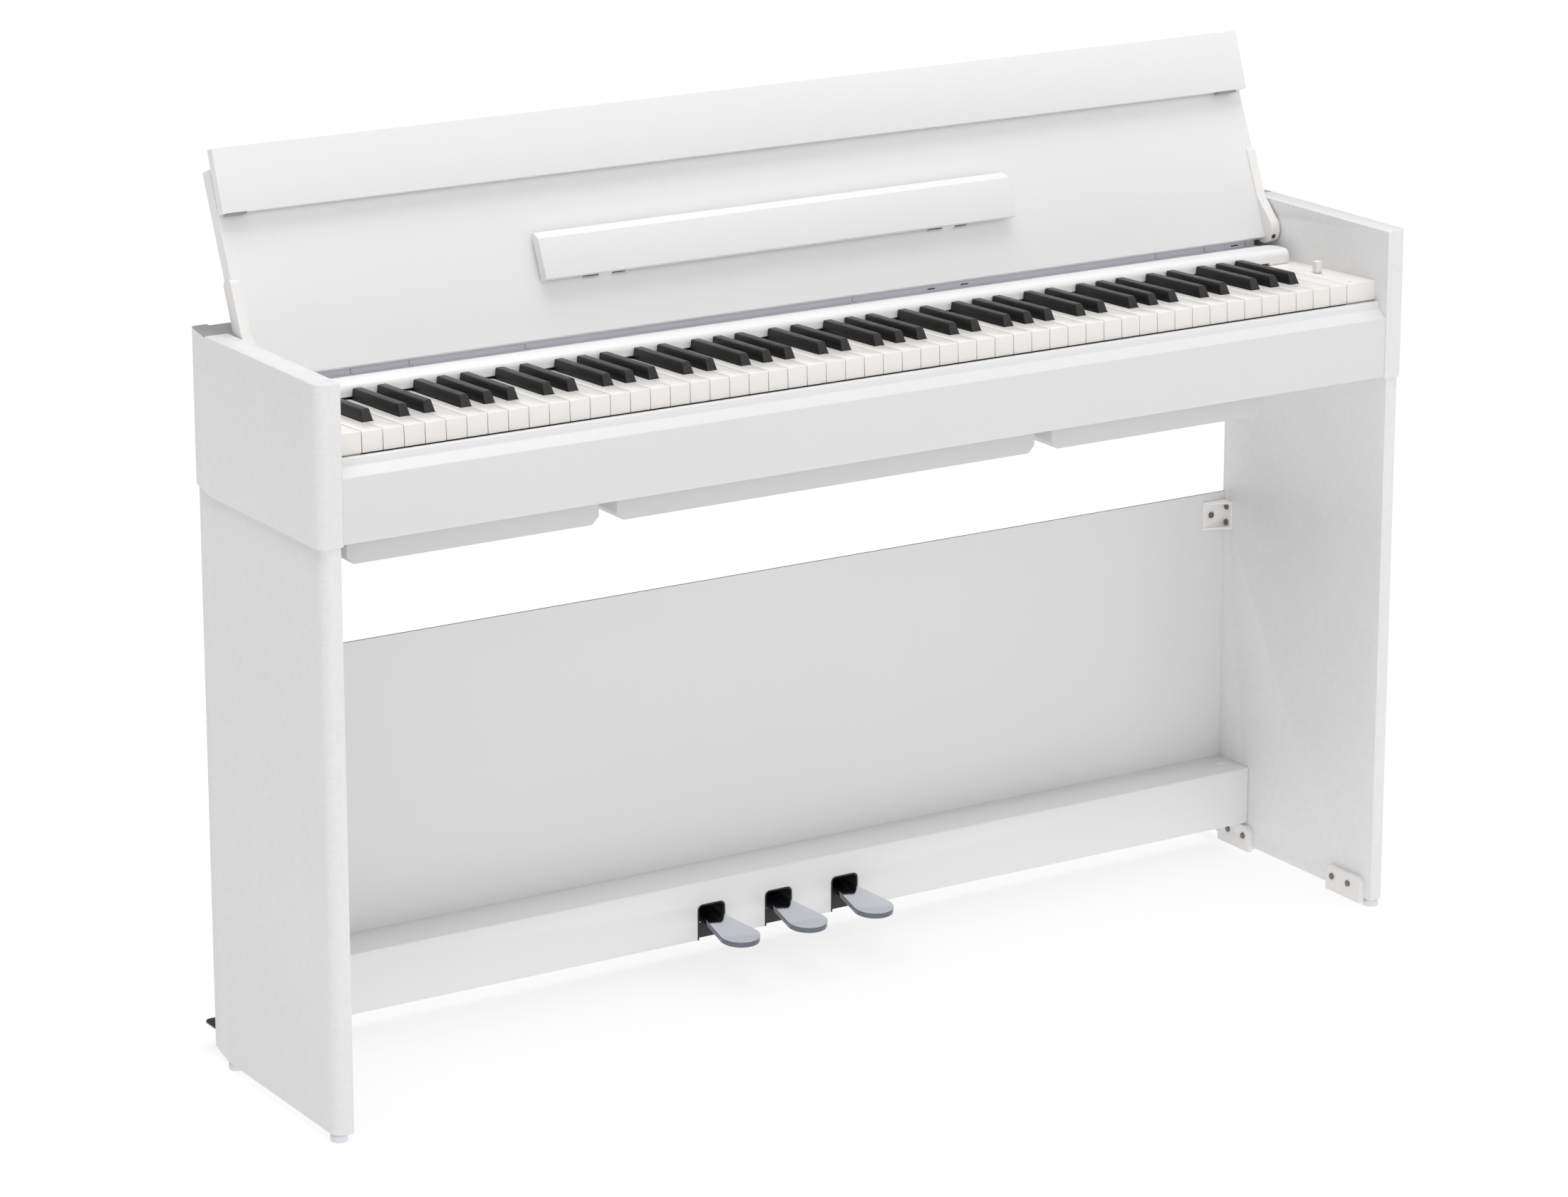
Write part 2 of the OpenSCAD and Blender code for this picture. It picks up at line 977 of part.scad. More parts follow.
module tongue_plan(front, back) {
    union() {
        translate([0, front])
            square([angle_w, back - angle_r - front]);
        translate([angle_r, front])
            square([angle_w - 2 * angle_r, back - front]);
        for (x = [angle_r, angle_w - angle_r])
            translate([x, back - angle_r])
                circle(angle_r);
    }
}

module lid_pins() {
    color(steel)
        on_lid()
            for (side = [-1, 1])
                on_side(side)
                    rod_x(pin_in + 0.5, pin_out - pin_in - 1, pin_r);
}

// Lid ------------------------------------------------------------------------

module lid_panel() {
    color(paint)
        on_lid()
            translate([-lid_w / 2, lid_front, lid_under])
                cube([lid_w, lid_back - lid_front, lid_t]);
}

// Side view of a lid arm: a strip beside the panel, swelling to a round boss
module arm_sketch() {
    end = arm_top - arm_round;
    cut = 180 + asin((lid_t + arm_boss[1]) / arm_boss_r);
    polygon(concat(
        arc([end, arm_lip - arm_round], arm_round, 90, 0),
        arc([end, arm_round - lid_t], arm_round, 0, -90),
        arc(arm_boss, arm_boss_r, cut, tangent_angle(arm_boss, arm_boss_r, arm_taper), 24),
        [arm_taper]
    ));
}

module lid_arm(side) {
    color(plastic)
        difference() {
            on_lid()
                on_side(side)
                    difference() {
                        along_x(arm_in, arm_out - arm_in)
                            panel_sketch()
                                arm_sketch();
                        translate([0, lid_front, lid_under])
                            cube([lid_w / 2, lid_back - lid_front, lid_t + eps]);
                        rod_x(pin_in, arm_out - pin_in + eps, pin_r + pin_air);
                    }
            from_front()
                on_side(side)
                    plug(plug_r);
        }
}

module plug(r) {
    translate([plug_x, plug_face_d - 3 * eps, plug_z])
        rotate([-90, 0, 0])
            cylinder(h = plug_len + 3 * eps, r = r);
}

module arm_plugs() {
    color(black)
        from_front()
            for (side = [-1, 1])
                on_side(side)
                    translate([plug_x, plug_face_d, plug_z])
                        rotate([-90, 0, 0])
                            cylinder(h = plug_len, r = plug_r);
}

// Lid side of the flap hinges: a leaf, two knuckles and the pin
module flap_hinges() {
    third = flap_hinge_l / 3;
    leaf_start = knuckle_r + knuckle_gap;
    color(steel)
        on_lid()
            for (x = flap_hinge_x)
                translate([x, flap_axis[0], flap_axis[1]])
                    union() {
                        for (x0 = [-flap_hinge_l / 2, flap_hinge_l / 2 - third])
                            union() {
                                rod_x(x0, third, knuckle_r);
                                translate([x0, 0, 0])
                                    cube([third, leaf_start + eps, flap_gap]);
                            }
                        translate([-flap_hinge_l / 2, leaf_start, flap_gap - leaf_t])
                            cube([flap_hinge_l, hinge_leaf - leaf_start, leaf_t]);
                        rod_x(-flap_hinge_l / 2, flap_hinge_l, hinge_pin_r);
                    }
}

// Panel side of the ledge hinges, with the leaf hidden behind the ledge
module ledge_hinges() {
    third = ledge_hinge_l / 3;
    leaf_start = ledge_knuckle_r + knuckle_gap;
    color(steel)
        on_lid()
            for (x = ledge_hinge_x)
                at_panel(ledge_axis[0], ledge_axis[1])
                    translate([x, 0, 0])
                        union() {
                            for (x0 = [-ledge_hinge_l / 2, ledge_hinge_l / 2 - third])
                                union() {
                                    rod_x(x0, third, ledge_knuckle_r);
                                    translate([x0, -leaf_start - eps, 0])
                                        cube([third, leaf_start + eps, ledge_axis[1]]);
                                }
                            translate([-ledge_hinge_l / 2, -hinge_leaf, ledge_axis[1] - ledge_leaf_t])
                                cube([ledge_hinge_l, hinge_leaf - leaf_start, ledge_leaf_t]);
                            rod_x(-ledge_hinge_l / 2, ledge_hinge_l, ledge_pin_r);
                        }
}

// The flap that hangs in front of the keys when the lid is shut
module flap() {
    third = flap_hinge_l / 3 - 2 * knuckle_gap;
    rear = flap_axis[0] - flap_gap;
    color(paint)
        on_flap()
            difference() {
                union() {
                    translate([-lid_w / 2, rear - flap_t, pivot_drop - flap_h])
                        cube([lid_w, flap_t, flap_h]);
                    for (x = flap_hinge_x)
                        translate([x - third / 2, flap_axis[0], flap_axis[1]])
                            union() {
                                rod_x(0, third, knuckle_r);
                                translate([0, -flap_gap - eps, -knuckle_r])
                                    cube([third, flap_gap + eps, 2 * knuckle_r]);
                            }
                }
                for (x = flap_hinge_x)
                    translate([x - third, flap_axis[0], flap_axis[1]])
                        rod_x(0, 2 * third, hinge_pin_r + hinge_air);
            }
}

module flap_pads() {
    color(grey)
        on_flap()
            for (x = pad_spans)
                translate([x[0], flap_axis[0] - flap_gap - pad_inset - pad_t, pivot_drop - flap_h - pad_h])
                    cube([x[1] - x[0], pad_t, pad_h]);
}

module music_ledge() {
    third = ledge_hinge_l / 3 - 2 * knuckle_gap;
    out = ledge_gap + ledge_t;
    tab = ledge_z + 1 - ledge_axis[0];
    color(paint)
        on_lid()
            difference() {
                union() {
                    along_x(-ledge_w / 2, ledge_w)
                        panel_sketch()
                            polygon([
                                [ledge_z, ledge_gap],
                                [ledge_z, out],
                                [ledge_z + ledge_h - ledge_bevel, out],
                                [ledge_z + ledge_h, out - ledge_bevel],
                                [ledge_z + ledge_h, ledge_gap]
                            ]);
                    for (x = ledge_hinge_x)
                        at_panel(ledge_axis[0], ledge_axis[1])
                            translate([x - third / 2, 0, 0])
                                union() {
                                    rod_x(0, third, ledge_knuckle_r);
                                    translate([0, -tab, -ledge_gap])
                                        cube([third, tab, ledge_gap]);
                                }
                }
                for (x = ledge_hinge_x)
                    at_panel(ledge_axis[0], ledge_axis[1])
                        translate([x - third, 0, 0])
                            rod_x(0, 2 * third, ledge_pin_r + hinge_air);
            }
}

// Controls -------------------------------------------------------------------

module volume_knob() {
    color(plastic)
        on_keys()
            translate([knob_x, knob_y, 0])
                union() {
                    translate([-knob_w / 2, -knob_w / 2, knob_lift])
                        cube([knob_w, knob_w, knob_h - knob_lift]);
                    translate([-stem_w / 2, -stem_l / 2, -stem_h])
                        cube([stem_w, stem_l, stem_h + 1]);
                }
}

module power_button() {
    color(plastic)
        on_keys()
            translate([button_x - button_w / 2, button_y - button_l / 2, button_up - button_h])
                cube([button_w, button_l, button_h]);
}

// Plan of a pedal: straight neck, then a flare tangent to the round end
module pedal_plan() {
    end = [0, -pedal_reach];
    corner = [-neck_w / 2, neck_end];
    touch = tangent_angle(end, pedal_r, corner);
    polygon(concat(
        [[corner[0], 0], corner],
        arc(end, pedal_r, touch, 540 - touch, 40),
        [[-corner[0], corner[1]], [-corner[0], 0]]
    ));
}

module pedal(i) {
    color(chrome)
        from_front()
            translate([i * pedal_pitch, pedal_d, pedal_z])
                difference() {
                    union() {
                        rotate([pedal_slope, 0, 0])
                            translate([0, 0, -pedal_t / 2])
                                linear_extrude(pedal_t)
                                    pedal_plan();
                        rod_x(-neck_w / 2, neck_w, pedal_hub_r);
                    }
                    rod_x(-neck_w, 2 * neck_w, pedal_axle_r + pin_air);
                }
}

// Keys -----------------------------------------------------------------------

module white_key(w) {
    head = key_pitch - key_gap;
    difference() {
        union() {
            translate([key_gap / 2, 0, -key_t])
                cube([head, black_start - black_air, key_t]);
            translate([key_gap / 2, 0, -lip_h])
                cube([head, lip_t, lip_h]);
            translate([tail_start(w), black_start - black_air - 1, -key_t])
                cube([tail_end(w) - tail_start(w), key_len - black_start + black_air + 1, key_t]);
        }
        translate([0, key_reach, -key_t / 2])
            rod_x(-eps, key_pitch + 2 * eps, rod_r + running);
    }
}

module white_keys(g) {
    color(ivory)
        on_keys()
            for (w = [first_white(g):last_white(g)])
                translate([key_left(w), 0, 0])
                    white_key(w);
}

// A black key: sloping front and sides above the white keys, a stick below
module black_key() {
    foot = 1;
    front_run = 5.4;
    sunk = 0.6;
    difference() {
        intersection() {
            along_x(-black_w, 2 * black_w)
                polygon([
                    [black_start, -key_t],
                    [black_start, foot],
                    [black_start + front_run, black_rise],
                    [black_end, black_rise],
                    [black_end, -sunk],
                    [key_len, -sunk],
                    [key_len, -key_t]
                ]);
            translate([0, key_len + eps, 0])
                rotate([90, 0, 0])
                    linear_extrude(key_len)
                        polygon([
                            [-black_w / 2, -key_t],
                            [-black_w / 2, foot],
                            [-black_top_w / 2, black_rise],
                            [black_top_w / 2, black_rise],
                            [black_w / 2, foot],
                            [black_w / 2, -key_t]
                        ]);
        }
        translate([0, key_reach, -key_t / 2])
            rod_x(-black_w, 2 * black_w, rod_r + running);
    }
}

module black_keys(g) {
    color(black)
        on_keys()
            for (w = [first_white(g):last_white(g)])
                if (has_black(w))
                    translate([key_left(w) + black_at(letter(w)), 0, 0])
                        black_key();
}

cheek(-1);  // cheek_left
cheek(1);  // cheek_right
leg(-1);  // leg_left
leg(1);  // leg_right
keybed();
key_slip();
rear_board();
top_board();
fallboard_bar();
rear_channel();
end_block_left();
end_block_right();
key_frame();
key_felt();
key_pivot_rod();
speaker_box_left();
speaker_box_right();
centre_box();
speaker_drivers();
main_board();
dc_inlet();
back_panel();
pedal_beam();
pedal_housings();
pedal_axles();
beam_caps();
panel_brackets();
foot_brackets();
bracket_screws();
glides();
rear_brackets();
lid_pins();
lid_panel();
lid_arm(-1);  // lid_arm_left
lid_arm(1);  // lid_arm_right
arm_plugs();
flap_hinges();
ledge_hinges();
flap();
flap_pads();
music_ledge();
volume_knob();
power_button();
pedal(-1);  // pedal_left
pedal(0);  // pedal_middle
pedal(1);  // pedal_right
white_keys(1);  // white_keys_1
white_keys(2);  // white_keys_2
white_keys(3);  // white_keys_3
white_keys(4);  // white_keys_4
white_keys(5);  // white_keys_5
white_keys(6);  // white_keys_6
white_keys(7);  // white_keys_7
black_keys(1);  // black_keys_1
black_keys(2);  // black_keys_2
black_keys(3);  // black_keys_3
black_keys(4);  // black_keys_4
black_keys(5);  // black_keys_5
black_keys(6);  // black_keys_6
black_keys(7);  // black_keys_7
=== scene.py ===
import math

import bmesh
import bpy
from mathutils import Euler, Matrix, Vector


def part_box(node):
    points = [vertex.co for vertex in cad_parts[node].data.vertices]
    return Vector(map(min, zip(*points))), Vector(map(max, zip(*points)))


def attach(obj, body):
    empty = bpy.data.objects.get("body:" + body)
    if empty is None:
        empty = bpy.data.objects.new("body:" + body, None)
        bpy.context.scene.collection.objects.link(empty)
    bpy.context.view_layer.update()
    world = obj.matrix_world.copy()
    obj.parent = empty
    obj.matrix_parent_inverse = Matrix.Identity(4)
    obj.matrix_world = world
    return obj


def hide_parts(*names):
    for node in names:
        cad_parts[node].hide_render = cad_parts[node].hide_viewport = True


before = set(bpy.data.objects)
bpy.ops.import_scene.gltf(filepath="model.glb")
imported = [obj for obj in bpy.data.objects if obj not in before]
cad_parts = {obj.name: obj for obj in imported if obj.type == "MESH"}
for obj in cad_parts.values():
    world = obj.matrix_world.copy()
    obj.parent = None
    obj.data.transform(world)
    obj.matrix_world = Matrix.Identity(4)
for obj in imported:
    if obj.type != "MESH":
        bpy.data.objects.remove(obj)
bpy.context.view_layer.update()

mm = 0.001


# ---- The room ---------------------------------------------------------------
# A white floor that glows, as a lit sweep does, a broad soft light overhead with
# weaker ones in front and at both sides, one softbox, and a dim even sky.

floor_half = 30.0
floor_mesh = bpy.data.meshes.new("studio_floor")
floor_bm = bmesh.new()
bmesh.ops.create_grid(floor_bm, x_segments=1, y_segments=1, size=floor_half)
floor_bm.to_mesh(floor_mesh)
floor_bm.free()
floor = bpy.data.objects.new("studio_floor", floor_mesh)
bpy.context.scene.collection.objects.link(floor)

sky = bpy.data.worlds.new("studio_sky")
sky.use_nodes = True
sky.node_tree.nodes["Background"].inputs["Color"].default_value = (1.0, 1.0, 1.0, 1)
sky.node_tree.nodes["Background"].inputs["Strength"].default_value = 0.26
bpy.context.scene.world = sky
bpy.context.scene.view_settings.view_transform = "Standard"


def lamp(kind, name, place, aim, power):
    light = bpy.data.lights.new(name, kind)
    light.energy = power
    holder = bpy.data.objects.new(name, light)
    holder.location = place
    holder.rotation_euler = (Vector(aim) - Vector(place)).to_track_quat("-Z", "Y").to_euler()
    bpy.context.scene.collection.objects.link(holder)
    return light


for name, place, power in (
        ("overhead", (0.0, 0.01, 5.0), 2.05), ("front", (0.3, -4.0, 1.6), 0.5),
        ("left", (-3.0, -3.0, 2.9), 0.34), ("right", (3.5, -1.5, 2.4), 0.27)):
    lamp("SUN", name, place, (0.0, 0.0, 0.4), power).angle = math.radians(50)
softbox = lamp("AREA", "softbox", (2.4, -1.8, 3.0), (0.0, 0.0, 0.5), 3)
softbox.shape = "RECTANGLE"
softbox.size, softbox.size_y = 1.6, 0.7

# The camera looks down from the front left with a long lens.
lens_px, frame_px = 7173.0, 2201.0
sensor = 36.0
eye = bpy.data.cameras.new("camera")
eye.sensor_width = sensor
eye.lens = lens_px / frame_px * sensor
eye.shift_x, eye.shift_y = 0.0, -0.1
eye.clip_end = 100
camera = bpy.data.objects.new("camera", eye)
camera.location = (-2.8526, -4.4829, 1.9883)
camera.rotation_euler = Euler((math.radians(90 - 14.571), 0, math.radians(-32.127)))
bpy.context.scene.collection.objects.link(camera)
bpy.context.scene.camera = camera


# ---- Legs and cheeks ----------------------------------------------------------
# Particle boards wrapped in white foil with a fine linen emboss, with a round
# front corner and a slanted facet at the rear. The cheeks stand on the legs.

class Value:
    """A shader socket that can be used in sums and comparisons."""

    def __init__(self, finish, socket):
        self.finish, self.socket = finish, socket

    def _sum(self, operation, a, b):
        return self.finish.node("ShaderNodeMath", {"operation": operation}, {0: a, 1: b})

    def __add__(self, other):
        return self._sum("ADD", self, other)

    def __radd__(self, other):
        return self._sum("ADD", other, self)

    def __mul__(self, other):
        return self._sum("MULTIPLY", self, other)

    def __rmul__(self, other):
        return self._sum("MULTIPLY", other, self)

    def __gt__(self, other):
        return self._sum("GREATER_THAN", self, other)

    def __lt__(self, other):
        return self._sum("LESS_THAN", self, other)


class Finish:
    """A material round one Principled shader, with its constants set on it."""

    def __init__(self, name, **constants):
        self.material = bpy.data.materials.new(name)
        self.material.use_nodes = True
        self.tree = self.material.node_tree
        self.shader = self.tree.nodes["Principled BSDF"]
        for socket, value in constants.items():
            self.shader.inputs[socket.replace("_", " ")].default_value = value

    def node(self, kind, settings, inputs, output=0):
        made = self.tree.nodes.new(kind)
        for name, value in settings.items():
            setattr(made, name, value)
        for name, value in inputs.items():
            if isinstance(value, Value):
                self.tree.links.new(value.socket, made.inputs[name])
            else:
                made.inputs[name].default_value = value
        return Value(self, made.outputs[output])

    def place(self, stretch=(1, 1, 1), shift=(0, 0, 0), turn=(0, 0, 0)):
        spot = self.node("ShaderNodeTexCoord", {}, {}, "Object")
        return self.node(
            "ShaderNodeMapping", {}, {"Vector": spot, "Scale": stretch, "Location": shift, "Rotation": turn})

    def noise(self, scale, detail=3.0, stretch=(1, 1, 1), shift=(0, 0, 0), rough=0.5):
        return self.node(
            "ShaderNodeTexNoise", {},
            {"Vector": self.place(stretch, shift), "Scale": scale, "Detail": detail, "Roughness": rough})

    def mix(self, factor, low, high):
        return self.node(
            "ShaderNodeMix", {"data_type": "RGBA"}, {0: factor, 6: low, 7: high}, 2)

    def clamp(self, value, low, high, to_low=0.0, to_high=1.0):
        return self.node(
            "ShaderNodeMapRange", {"clamp": True},
            {"Value": value, "From Min": low, "From Max": high, "To Min": to_low, "To Max": to_high})

    def along(self, axis):
        """The place along X, Y or Z (0, 1, 2), in metres."""
        return self.node("ShaderNodeSeparateXYZ", {}, {0: self.place()}, axis)

    def facing(self, axis):
        """How far the surface faces along X, Y or Z, from -1 to 1."""
        normal = self.node("ShaderNodeNewGeometry", {}, {}, "Normal")
        return self.node("ShaderNodeSeparateXYZ", {}, {0: normal}, axis)

    def mark(self, axis, spots, half):
        """1 within half a width of any of the spots along an axis, in mm."""
        place = self.along(axis)
        marks = [(place > (x - half) * mm) * (place < (x + half) * mm) for x in spots]
        return sum(marks[1:], marks[0])

    def feed(self, socket, value):
        self.tree.links.new(value.socket, self.shader.inputs[socket])

    def emboss(self, height, depth, strength=1.0):
        self.feed("Normal", self.node(
            "ShaderNodeBump", {}, {"Height": height, "Distance": depth, "Strength": strength}))


def tint(red, green, blue):
    return (red, green, blue, 1.0)


def grey(level):
    return tint(level, level, level)


def merged_copy(node):
    """A clean copy of a CAD node's mesh: welded, with its flat faces joined."""
    bm = bmesh.new()
    bm.from_mesh(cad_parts[node].data)
    bmesh.ops.remove_doubles(bm, verts=bm.verts, dist=0.002 * mm)
    bmesh.ops.dissolve_limit(
        bm, angle_limit=math.radians(0.4), verts=bm.verts, edges=bm.edges, delimit=set())
    return bm


def sharp_edges(bm, degrees=32, keep=None):
    limit = math.radians(degrees)
    return [
        e for e in bm.edges
        if len(e.link_faces) == 2 and e.calc_face_angle(0) > limit and (keep is None or keep(e))]


def ease(bm, radius, segments=2, degrees=32, keep=None):
    """Rounds the sharp edges as sanding and foil do."""
    bmesh.ops.bevel(
        bm, geom=sharp_edges(bm, degrees, keep), offset=radius, offset_type="OFFSET",
        segments=segments, profile=0.5, affect="EDGES", clamp_overlap=True, material=-1)


def show(bm, name, body, finish, slot, *nodes, smooth=34):
    """Makes the piece, gives it its finish, and lets it ride on its body."""
    mesh = bpy.data.meshes.new(name)
    bm.to_mesh(mesh)
    bm.free()
    mesh.polygons.foreach_set("use_smooth", [True] * len(mesh.polygons))
    mesh.set_sharp_from_angle(angle=math.radians(smooth))
    mesh.materials.append(finish.material)
    piece = bpy.data.objects.new(name, mesh)
    bpy.context.scene.collection.objects.link(piece)
    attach(piece, body)
    if nodes:
        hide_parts(*nodes)
    return piece


def eased(node, body, finish, slot, radius, segments=2, smooth=34):
    bm = merged_copy(node)
    ease(bm, radius * mm, segments)
    return show(bm, node + "_eased", body, finish, slot, node, smooth=smooth)


def refinish(node, finish):
    """A CAD node whose shape is right keeps it, and gets its finish."""
    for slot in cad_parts[node].material_slots:
        slot.material = finish.material


floor_paint = Finish("studio_floor", Roughness=0.9, Emission_Color=grey(1.0), Emission_Strength=0.78)
floor_cloud = floor_paint.noise(0.7, 2.0)
floor_paint.feed("Base Color", floor_paint.mix(floor_cloud, grey(0.22), grey(0.24)))
floor_mesh.materials.append(floor_paint.material)

linen = Finish("linen_foil", Roughness=0.45)
warp = linen.noise(1.0, 2.0, stretch=(900, 900, 70))
weft = linen.noise(1.0, 2.0, stretch=(80, 80, 950), shift=(3, 5, 1))
weave = (warp + weft) * 0.5
haze = linen.noise(5.0, 3.0, shift=(1, 2, 3))
# Behind the lid, above the top board's level, these boards are painted dark grey: a painted shadow of the
# open lid on the cheek tops and the top board.
lid_shadow_y, lid_shadow_z = 83.5 * mm, 790.5 * mm
lid_shadow_mask = (linen.along(1) > lid_shadow_y) * (linen.along(2) > lid_shadow_z)
foil = linen.mix(
    linen.clamp(weave * 0.75 + haze * 0.25, 0.34, 0.66),
    tint(0.80, 0.80, 0.805), tint(0.88, 0.88, 0.88))
linen.feed("Base Color", linen.mix(lid_shadow_mask, foil, tint(0.40, 0.40, 0.41)))
linen.feed("Roughness", linen.clamp(weave, 0.35, 0.65, 0.52, 0.4))
linen.emboss(weave, 0.25 * mm, 0.5)

for side in ("left", "right"):
    eased("leg_" + side, "cabinet", linen, "side_board", 1.0)
    eased("cheek_" + side, "cabinet", linen, "side_board", 1.2)


# ---- Keybed, rear board, top board, back panel ----------------------------------
# The flat boards of the cabinet, in smooth satin white foil. The back panel is
# thin hardboard with a raw brown edge, and the top board is cut for the arms.

satin = Finish("satin_white", Coat_Weight=0.06, Coat_Roughness=0.25)
dimple = satin.noise(700, 2.0)
cloud = satin.noise(2.6, 3.0, shift=(4, 1, 7))
scuff = satin.noise(38.0, 5.0, stretch=(1, 4, 4), shift=(2, 2, 9), rough=0.65)
satin.feed("Base Color", satin.mix(cloud, grey(0.855), grey(0.885)))
satin.feed("Roughness", satin.clamp(scuff * 0.6 + dimple * 0.4, 0.3, 0.7, 0.31, 0.43))
satin.emboss(dimple, 0.03 * mm, 0.25)

for node, finish, radius in (("keybed", satin, 0.8), ("rear_board", satin, 0.9), ("top_board", linen, 1.0)):
    eased(node, "cabinet", finish, "white_board", radius)

hardboard = Finish("panel_face", Coat_Weight=0.04, Coat_Roughness=0.3)
panel_cloud = hardboard.noise(3.1, 3.0, shift=(8, 3, 1))
panel_grit = hardboard.noise(520, 2.0)
fibre = hardboard.noise(60.0, 4.0, stretch=(1, 8, 8))
panel_white = hardboard.mix(panel_cloud, grey(0.78), grey(0.81))
panel_edge = hardboard.mix(fibre, tint(0.27, 0.24, 0.21), tint(0.42, 0.38, 0.34))
hardboard.feed("Base Color", hardboard.mix(hardboard.facing(2) > 0.8, panel_white, panel_edge))
hardboard.feed("Roughness", hardboard.clamp(panel_grit, 0.3, 0.7, 0.38, 0.5))
hardboard.emboss(panel_grit, 0.03 * mm, 0.3)
eased("back_panel", "cabinet", hardboard, "white_board", 0.3, 1)


# ---- Boxes under the keybed -------------------------------------------------------
# Two loudspeaker boxes and a wider one for the electronics, folded from sheet
# with bevelled ends, screwed up against the keybed.

shell = Finish("box_shell", Roughness=0.5)
pebble = shell.noise(620, 2.0)
shell_cloud = shell.noise(4.0, 2.0, shift=(2, 8, 5))
shell.feed("Base Color", shell.mix(shell_cloud, grey(0.63), grey(0.67)))
shell.feed("Roughness", shell.clamp(pebble, 0.3, 0.7, 0.45, 0.6))
shell.emboss(pebble, 0.06 * mm, 0.5)
for node in ("speaker_box_left", "speaker_box_right", "centre_box"):
    eased(node, "cabinet", shell, "box_shell", 1.2)

cone = Finish("speaker_cone", Roughness=0.7)
pulp = cone.noise(420, 4.0)
cone.feed("Base Color", cone.mix(pulp, grey(0.02), grey(0.06)))
cone.emboss(pulp, 0.2 * mm, 0.6)
refinish("speaker_drivers", cone)

mask = Finish("circuit_mask", Roughness=0.35)
tracks = mask.node(
    "ShaderNodeTexBrick", {"offset": 0.5},
    {"Vector": mask.place(), "Color1": tint(0.04, 0.22, 0.09), "Color2": tint(0.05, 0.27, 0.11),
     "Mortar": tint(0.09, 0.36, 0.17), "Scale": 60.0, "Mortar Size": 0.03})
mask.feed("Base Color", tracks)
refinish("main_board", mask)


# ---- Key slip ------------------------------------------------------------------------
# The long fascia in front of the keys: a flat face, a sloping band and an
# upright lip, moulded in one length and wrapped in a slightly greyer foil.

slip = Finish("slip_white", Coat_Weight=0.06, Coat_Roughness=0.25)
slip_dimple = slip.noise(700, 2.0)
slip_cloud = slip.noise(2.2, 3.0, shift=(9, 1, 2))
slip.feed("Base Color", slip.mix(slip_cloud, grey(0.765), grey(0.795)))
slip.feed("Roughness", slip.clamp(slip_dimple, 0.3, 0.7, 0.32, 0.42))
slip.emboss(slip_dimple, 0.03 * mm, 0.25)
eased("key_slip", "cabinet", slip, "white_board", 0.7)


# ---- End blocks, volume knob and power button -------------------------------------------
# Injection-moulded blocks that close the keyboard at both ends, in the off-white
# of the keys. The right one carries the slider's square cap and a flat button.

ivory = Finish("key_ivory", Coat_Weight=0.25, Coat_Roughness=0.18)
veil = ivory.noise(9.0, 3.0, stretch=(1, 0.4, 1))
grain = ivory.noise(900, 2.0, stretch=(1, 0.15, 1), shift=(5, 5, 5))
ivory.feed("Base Color", ivory.mix(veil, tint(0.88, 0.85, 0.82), tint(0.91, 0.89, 0.865)))
ivory.feed("Roughness", ivory.clamp(grain, 0.3, 0.7, 0.3, 0.42))
ivory.emboss(grain, 0.02 * mm, 0.3)

moulded = Finish("moulded_white", Roughness=0.45)
spark = moulded.noise(1100, 2.0)
tone = moulded.noise(14.0, 3.0, shift=(6, 2, 3))
arm_dot_y, arm_dot_z, arm_dot_r = 97.5, 833, 1.1
dot = moulded.mark(1, (arm_dot_y,), arm_dot_r) * moulded.mark(2, (arm_dot_z,), arm_dot_r)
moulded.feed("Base Color", moulded.mix(
    dot, moulded.mix(tone, tint(0.85, 0.83, 0.815), tint(0.90, 0.885, 0.87)), grey(0.12)))
moulded.feed("Roughness", moulded.clamp(spark, 0.3, 0.7, 0.4, 0.55))
moulded.emboss(spark, 0.05 * mm, 0.4)

for side in ("left", "right"):
    eased("end_block_" + side, "cabinet", ivory, "key_ivory", 0.8, 3)
eased("volume_knob", "volume_knob", moulded, "white_plastic", 1.3, 3)
eased("power_button", "power_button", moulded, "white_plastic", 0.5, 2)


# ---- Keys ---------------------------------------------------------------------------------
# White keys are moulded shells with a rounded front edge and a thin lip. Black
# keys are narrower, with rounded shoulders, a slanted front and a satin skin.

ebony = Finish("key_ebony", Specular_IOR_Level=0.32)
pore = ebony.noise(1400, 2.0, stretch=(1, 0.12, 1))
rub = ebony.noise(60.0, 3.0, shift=(1, 1, 4))
# The forward-facing fronts of the black keys are painted lighter than their tops and sides: a painted
# highlight of the light from the front.
ebony_body = ebony.mix(rub, grey(0.006), grey(0.014))
ebony_front_painted_highlight = ebony.mix(rub, grey(0.026), grey(0.04))
ebony.feed("Base Color", ebony.mix(ebony.facing(1) < -0.6, ebony_body, ebony_front_painted_highlight))
ebony.feed("Roughness", ebony.clamp(pore * 0.5 + rub * 0.5, 0.3, 0.7, 0.3, 0.46))
ebony.emboss(pore, 0.03 * mm, 0.35)

white_low, white_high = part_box("white_keys_1")
front_reach = 3 * mm
octaves = range(1, 8)


def at_front_top(edge):
    """The long top edge over a white key's front lip."""
    a, b = edge.verts[0].co, edge.verts[1].co
    level = abs(a.z - b.z) < 0.1 * mm
    return level and min(a.z, b.z) > white_high.z - 1 * mm and max(a.y, b.y) < white_low.y + front_reach


def raised(edge):
    """An edge on the part of a black key that stands above the white ones."""
    return min(edge.verts[0].co.z, edge.verts[1].co.z) > white_high.z - 4 * mm


